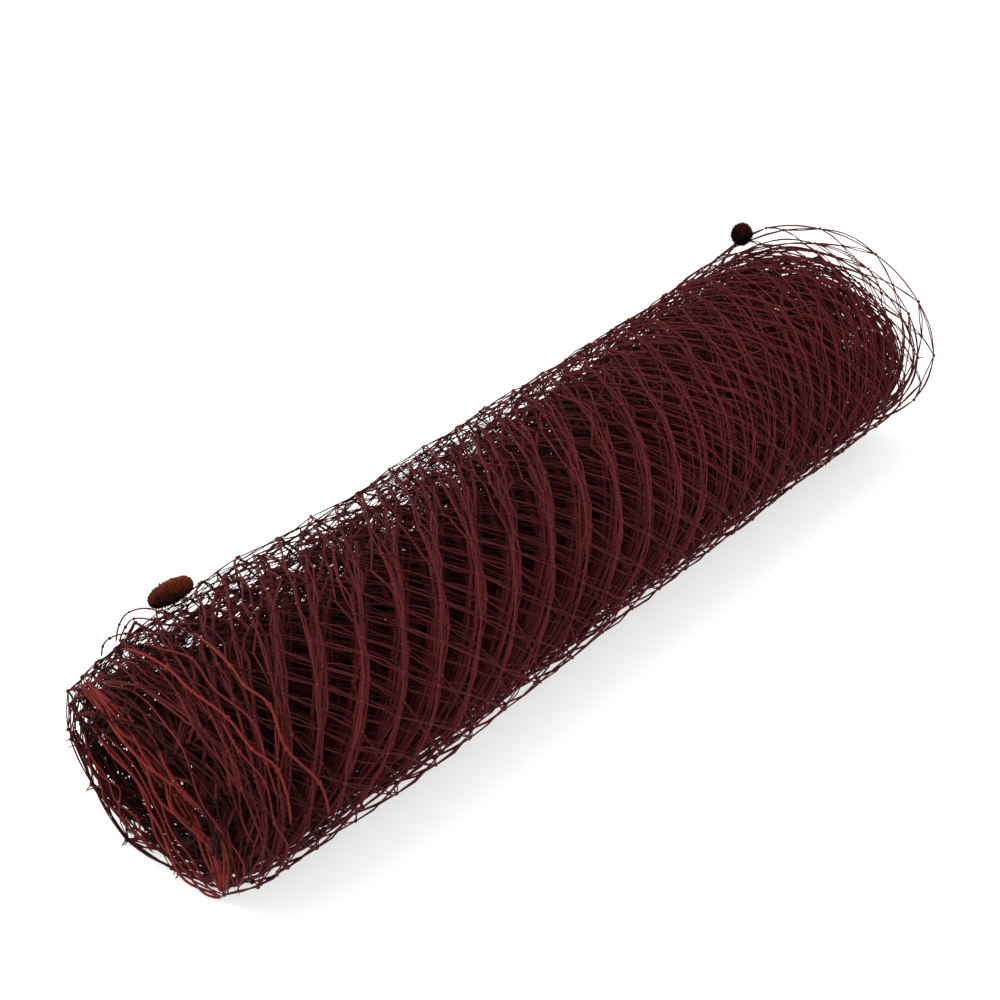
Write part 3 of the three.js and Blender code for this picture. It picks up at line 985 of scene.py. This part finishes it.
standingLoops = [
    [(-104, 140, 0), (-104, 130, 2.8), (-104, 120, 4.8), (-103, 111, 4.9),
     (-102, 104, 3.0), (-102, 98, 1.2), (-101, 92, 0)],
    [(-105, 134, 0), (-104, 127, 2.0), (-104, 119, 3.4), (-103, 112, 2.6),
     (-102, 108, 1.2), (-100, 104, 0.4), (-98, 98, 0)],
    [(-107, 144, 0), (-107, 138, 1.4), (-107, 130, 2.2), (-106, 122, 1.9),
     (-105, 116, 1.0), (-104, 112, 0.4), (-103, 106, 0)],
]
# the strays' dark value is a little painted shade
strayForm = {"points": 34, "sides": 6, "knotPoints": 7, "knot": 2.1, "dark": 0.05}
# strands, how much painted light they carry, and half their thickness
strayGroups = [
    (strayStrands[:2], 0.75, 0.27 * mm),
    (strayStrands[2:], 0.25, 0.2 * mm),
    (standingLoops, 0, 0.16 * mm),
]


def smoothed(path, count):
    # a smooth curve through a few points
    path = np.asarray(path, float)
    path = np.concatenate([2 * path[:1] - path[1:2], path, 2 * path[-1:] - path[-2:-1]])
    spans = len(path) - 3
    at = np.linspace(0, spans - 1e-6, count)
    number = at.astype(int)
    t = (at - number)[:, None]
    before, first, second, after = (path[number + k] for k in range(4))
    curve = 2 * first + (second - before) * t + (2 * before - 5 * first + 4 * second - after) * t ** 2
    return 0.5 * (curve + (3 * first - before - 3 * second + after) * t ** 3)


def fanPaths(rng):
    ways = [smoothed(way, fan["points"]) * mm for number, way in fan["strands"]]
    guides = np.repeat(ways, [number for number, way in fan["strands"]], axis=0)
    count = len(guides)
    share = np.linspace(0, 1, fan["points"])[None, :, None]
    sag = np.sin(math.pi * share) ** 0.8
    flat = guides + rng.normal(0, fan["apart"], (count, 1, 2)) * (0.4 + 0.8 * sag)
    forward = rng.uniform(0.2, 1.0, (count, 1, 1)) * sag * fan["forward"]
    paths = np.concatenate([fan["plane"] - forward, flat], axis=2)
    for waves in (1, 2, 3):
        phase = rng.uniform(0, 2 * math.pi, (count, 1, 3))
        paths = paths + fan["wander"] / waves * np.sin(phase + 2 * math.pi * waves * share) * sag
    paths[..., 2] = np.maximum(paths[..., 2], fan["lowest"])
    return paths


def surfacePath(rows, count):
    x, degrees, off = smoothed(rows, count).T
    return loosePoint(x * mm, np.radians(degrees), np.ones_like(x), looseness["over"] + off * mm)


def fanBundles(rng):
    paths = fanPaths(rng)
    count = len(paths)
    thick = rng.uniform(*fan["thick"], count) / 2
    lit = rng.uniform(*fan["lit"], count)
    outward = np.broadcast_to(unit(np.array(fan["facing"])), paths.shape)
    tubes = strandTubes(paths, thick, fan["sides"], outward)
    strands = tubeBundle(tubes, rng.uniform(*fan["dark"], count), lit)
    knotAt = rng.integers(2, fan["points"] - 2, (count, fan["knotsEach"]))
    places = np.take_along_axis(paths, knotAt[..., None], axis=1).reshape(-1, 3)
    flat = np.broadcast_to(outward[0, 0], places.shape)
    dark, lit = (np.full(len(places), fan[key]) for key in ("knotDark", "knotLit"))
    return [strands, knotBundle(places, flat, fan["knot"], True, dark, lit, rng)]


def strayBundles(strands, lit, half, rng):
    paths = np.stack([surfacePath(rows, strayForm["points"]) for rows in strands])
    middle = paths.mean(axis=1, keepdims=True) * np.array([1, 0, 0.5])
    count = len(paths)
    tubes = strandTubes(paths, np.full(count, half), strayForm["sides"], unit(paths - middle + 1e-9))
    bundle = tubeBundle(tubes, np.full(count, strayForm["dark"]), np.full(count, lit))
    knots = np.concatenate([surfacePath(rows, strayForm["knotPoints"])[1:-1] for rows in strands])
    outward = unit(knots - knots.mean(axis=0) * np.array([1, 0, 0.6]))
    dark, lit = np.full(len(knots), strayForm["dark"]), np.full(len(knots), lit)
    return [bundle, knotBundle(knots, outward, half * strayForm["knot"], True, dark, lit, rng)]


def nearStrands():
    rng = np.random.default_rng(fan["seed"])
    bundles = fanBundles(rng)
    for strands, lit, half in strayGroups:
        bundles += strayBundles(strands, lit, half, rng)
    joinedPiece("net_slid_strands", bundles, veilThread, None)


nearStrands()

# cut thread ends that stick out of the selvedge knots, and a few stray ones on the outermost turn
threadEnds = {
    "atNear": 70,
    "atFar": 16,
    "onTurn": 16,
    "turns": 7,             # so many of the outermost turns have them
    "long": (0.6 * mm, 2.0 * mm),
    "thick": 0.24 * mm,
    "droop": 0.35,
    "lowest": 0.3 * mm,
    "keepsTo": (-119 * mm, 117 * mm),
    "seed": 33,
}


def endRoots(rng):
    # where the cut ends sit on their knots, and which way they point
    evenRows = np.arange(rowCount - netForm["outerRows"] * threadEnds["turns"], rowCount - 2)
    evenRows = evenRows[evenRows % 2 == 0]
    nearRows = rng.choice(evenRows, threadEnds["atNear"])
    farRows = rng.choice(evenRows, threadEnds["atFar"])
    places, ahead = [], []
    for rows, column, toX in ((nearRows, 0, -1), (farRows, columnCount - 1, 0.6)):
        places.append(knotPlace[rows, column])
        ahead.append(knotOut[rows, column] * rng.uniform(0.1, 0.9, (len(rows), 1)) + np.array([toX, 0, 0]))
    rows = rng.integers(rowCount - netForm["outerRows"] - 2, rowCount - 2, threadEnds["onTurn"])
    columns = rng.integers(2, columnCount - 4, threadEnds["onTurn"])
    columns = columns + (rows + columns) % 2
    places.append(knotPlace[rows, columns])
    ahead.append(knotOut[rows, columns] * 0.7 + rng.normal(0, 0.5, (len(rows), 3)))
    places = np.concatenate(places)
    return places, unit(np.concatenate(ahead) + rng.normal(0, 0.25, places.shape))


def cutEnds():
    rng = np.random.default_rng(threadEnds["seed"])
    places, ahead = endRoots(rng)
    count = len(places)
    reach = rng.uniform(*threadEnds["long"], (count, 1))[..., None]
    share = np.linspace(0, 1, 5)[None, :, None]
    droop = np.array([0, 0, -threadEnds["droop"]]) * reach * share ** 2
    paths = places[:, None, :] + ahead[:, None, :] * reach * share + droop
    paths[..., 2] = np.maximum(paths[..., 2], threadEnds["lowest"])
    paths[..., 0] = np.clip(paths[..., 0], *threadEnds["keepsTo"])
    half = rng.uniform(0.7, 1.2, count) * threadEnds["thick"] / 2
    outward = unit(np.cross(ahead, [0.3, 0.5, 0.8]))[:, None, :]
    tubes = strandTubes(paths, half, 4, np.broadcast_to(outward, paths.shape))
    # each end carries a random share of painted shade and of painted light
    bundle = tubeBundle(tubes, rng.uniform(0, 0.3, count), rng.uniform(0, 0.4, count))
    joinedPiece("net_thread_ends", [bundle], veilThread, None)


cutEnds()
print("stage 4: slid strands and thread ends made")

# chenille tufts: a bumpy core and short hairs that stand out of it to the tuft's form
chenille = {"cloud": 260, "roughness": 0.95, "twist": 2.5, "bump": 0.3}
# each tuft's lit colour is painted light and its deep colour painted shade
tufts = {
    "near": {
        "degrees": 125.2,
        "x": -92.7 * mm,
        "swing": -10,
        "long": 9.6 * mm,
        "thick": 5.1 * mm,
        "nudge": (0.3 * mm, 0, -1.0 * mm),      # down through the solid net's thickness, on to the threads
        "hairs": 5200,
        "seed": 41,
        "look": {
            "pale": (0.058, 0.0086, 0.0038),
            "full": (0.030, 0.0046, 0.0022),
            "deep": (0.007, 0.0014, 0.0010),
            "lit": (0.235, 0.0430, 0.0140),
            "sheen": 0.02,
        },
    },
    "far": {
        "degrees": 119.9,
        "x": 101.85 * mm,
        "swing": 32,
        "long": 9.6 * mm,
        "thick": 6.0 * mm,
        "nudge": (0.9 * mm, -0.2 * mm, -0.9 * mm),
        "hairs": 5000,
        "seed": 42,
        "look": {
            "pale": (0.020, 0.0024, 0.0022),
            "full": (0.011, 0.0016, 0.0016),
            "deep": (0.003, 0.0007, 0.0007),
            "lit": (0.050, 0.0058, 0.0050),
            "sheen": 0.0,
        },
    },
}
# hairs as shares of the tuft's length and half thickness, the bumpy core under them, and the way the painted
# light on the top comes from
pile = {
    "steps": (0.45, 0.62, 0.84, 1.0),
    "thick": (0.05, 0.085),     # mm, half of it
    "lean": 0.05,
    "reach": (0.88, 1.07),
    "paintedLightFrom": (0.2, -0.25, 0.95),
    "coreRings": 22,
    "coreSides": 28,
    # the core under the hairs is painted in shade
    "coreDark": 0.75,
}


def tuftFrame(tuft, node):
    # the middle of the tuft, and which way it lies, which way is out of the roll, and sideways
    low, high = (np.array(corner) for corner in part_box(node))
    centre = (low + high) / 2 + np.array(tuft["nudge"])
    turn = math.radians(tuft["degrees"])
    outer = np.array([loosePoint(tuft["x"], turn + step, 1.0, 0.0) for step in (-0.02, 0.02)])
    out = np.cross(unit(outer[1] - outer[0]), [1.0, 0, 0])
    out = unit(out * np.sign(out @ (centre - np.array([centre[0], 0, 0.02]))))
    swing = math.radians(tuft["swing"])
    axis = math.cos(swing) * np.array([1.0, 0, 0]) + math.sin(swing) * np.cross(out, [1.0, 0, 0])
    return {"centre": centre, "axis": axis, "out": out, "sideways": np.cross(out, axis)}


def tuftSpokes(place, angle):
    return np.cos(angle)[..., None] * place["out"] + np.sin(angle)[..., None] * place["sideways"]


def tuftPoints(tuft, place, share, angle, reach):
    # points at so much of the length, so far round and at so much of the half thickness
    profile = tuft["thick"] / 2 * np.sin(math.pi * np.clip(share, 0.004, 0.996)) ** 0.3
    middle = place["centre"] + ((share - 0.5) * tuft["long"])[..., None] * place["axis"]
    return middle + (profile * reach)[..., None] * tuftSpokes(place, angle)


def tuftHairs(tuft, place, rng):
    count = tuft["hairs"]
    share = rng.uniform(0.01, 0.99, count)
    angle = rng.uniform(0, 2 * math.pi, count)
    lean = rng.normal(0, pile["lean"], (2, count))
    clump = 0.93 + 0.06 * np.sin(9 * angle + 3 * np.sin(14 * share)) + 0.05 * np.sin(31 * share + 2 * angle)
    reach = clump * rng.uniform(*pile["reach"], count)
    paths = []
    for step in pile["steps"]:
        along = np.clip(mixed(0.5, share, 0.8 + 0.2 * step) + lean[0] * step, 0, 1)
        paths.append(tuftPoints(tuft, place, along, angle + lean[1] * step * 4, reach * step))
    paths = np.stack(paths, axis=1)
    half = rng.uniform(*pile["thick"], count) * mm
    tubes = strandTubes(paths, half, 3, np.broadcast_to(place["axis"], paths.shape))
    bundle = tubeBundle(tubes, rng.uniform(0, 0.25, count), np.zeros(count))
    # painted shade darkens the roots and the hairs turned away from the top, and painted light makes the tips
    # paler, most of all on top; each tube's points are two rings, its root and its tip
    top = eased(tuftSpokes(place, angle) @ unit(np.array(pile["paintedLightFrom"])) * 0.9 + 0.5 * (share - 0.5))
    top = np.repeat(top, len(bundle["points"]) // count)
    bundle["dark"] = np.tile([0.7] * 3 + [0.15] * 3 + [0.9, 0], count) + bundle["dark"] + 1.5 * (0.5 - top)
    bundle["lit"] = np.tile([0.0] * 3 + [0.5] * 3 + [0.0, 1.0], count) * top
    return bundle


def tuftCore(tuft, place, rng):
    rings, sides = pile["coreRings"], pile["coreSides"]
    around = 2 * math.pi * np.arange(sides) / sides
    share, angle = np.meshgrid(np.linspace(0.01, 0.99, rings), around, indexing="ij")
    bumps = 0.70 + 0.05 * np.sin(7 * angle + 11 * share) + rng.normal(0, 0.02, share.shape)
    body = tuftPoints(tuft, place, share, angle, bumps)
    tips = tuftPoints(tuft, place, np.array([0.0, 1.0]), np.zeros(2), np.zeros(2))
    points = np.concatenate([body.reshape(-1, 3), tips])
    quads, caps = ringFaces(rings, sides)
    quads, caps = quads[:, [0, 3, 2, 1]], caps[:, [0, 2, 1]]    # turned to face outwards
    core = {"points": points, "quads": quads, "triangles": caps}
    core["map"] = np.zeros((quads.size + caps.size, 2))
    return core | {"dark": np.full(len(points), pile["coreDark"]), "lit": np.zeros(len(points))}


def tuftPile(name, tuft, node):
    rng = np.random.default_rng(tuft["seed"])
    place = tuftFrame(tuft, node)
    hairs = tuftHairs(tuft, place, rng)
    core = tuftCore(tuft, place, rng)
    material = fibreMaterial(name + "Chenille", chenille | tuft["look"])
    joinedPiece(name, [core, hairs], material, node)


tuftPile("tuft_pile_near", tufts["near"], "chenille_tuft_near")
tuftPile("tuft_pile_far", tufts["far"], "chenille_tuft_far")
print("stage 5: tufts made")

# floor and light
studio = {
    "floorCorners": [(-4, -4, 0), (4, -4, 0), (4, 4, 0), (-4, 4, 0)],
    "floorColour": (0.42, 0.42, 0.42, 1),
    "floorGlow": 0.62,
    "white": (1, 1, 1, 1),
    "sky": 1.05,
    "lampsAim": (0, 0, 0.02),
}
floorMesh = bpy.data.meshes.new("floor")
floorMesh.from_pydata(studio["floorCorners"], [], [(0, 1, 2, 3)])
floorObject = bpy.data.objects.new("floor", floorMesh)
scene.collection.objects.link(floorObject)
floorMaterial, floorShader = newMaterial("paleFloor", 0.9, 0)
floorShader.inputs["Base Color"].default_value = studio["floorColour"]
floorShader.inputs["Emission Color"].default_value = studio["white"]
floorShader.inputs["Emission Strength"].default_value = studio["floorGlow"]
floorMesh.materials.append(floorMaterial)

world = bpy.data.worlds.new("studio")
scene.world = world
world.use_nodes = True
sky = world.node_tree.nodes["Background"]
sky.inputs["Color"].default_value = studio["white"]
sky.inputs["Strength"].default_value = studio["sky"]

lamps = [
    {"name": "topLamp", "place": (-0.35, 0.35, 1.0), "size": 0.9, "power": 11},
    {"name": "sideLamp", "place": (-0.9, -0.45, 0.5), "size": 0.5, "power": 3.4},
]
for lamp in lamps:
    lampData = bpy.data.lights.new(lamp["name"], "AREA")
    lampData.shape = "SQUARE"
    lampData.size = lamp["size"]
    lampData.energy = lamp["power"]
    lampObject = bpy.data.objects.new(lamp["name"], lampData)
    scene.collection.objects.link(lampObject)
    lampObject.location = lamp["place"]
    towards = Vector(studio["lampsAim"]) - Vector(lamp["place"])
    lampObject.rotation_mode = "QUATERNION"
    lampObject.rotation_quaternion = towards.to_track_quat("-Z", "Y")
scene.view_settings.view_transform = "Standard"
print("stage 6: floor and light set")
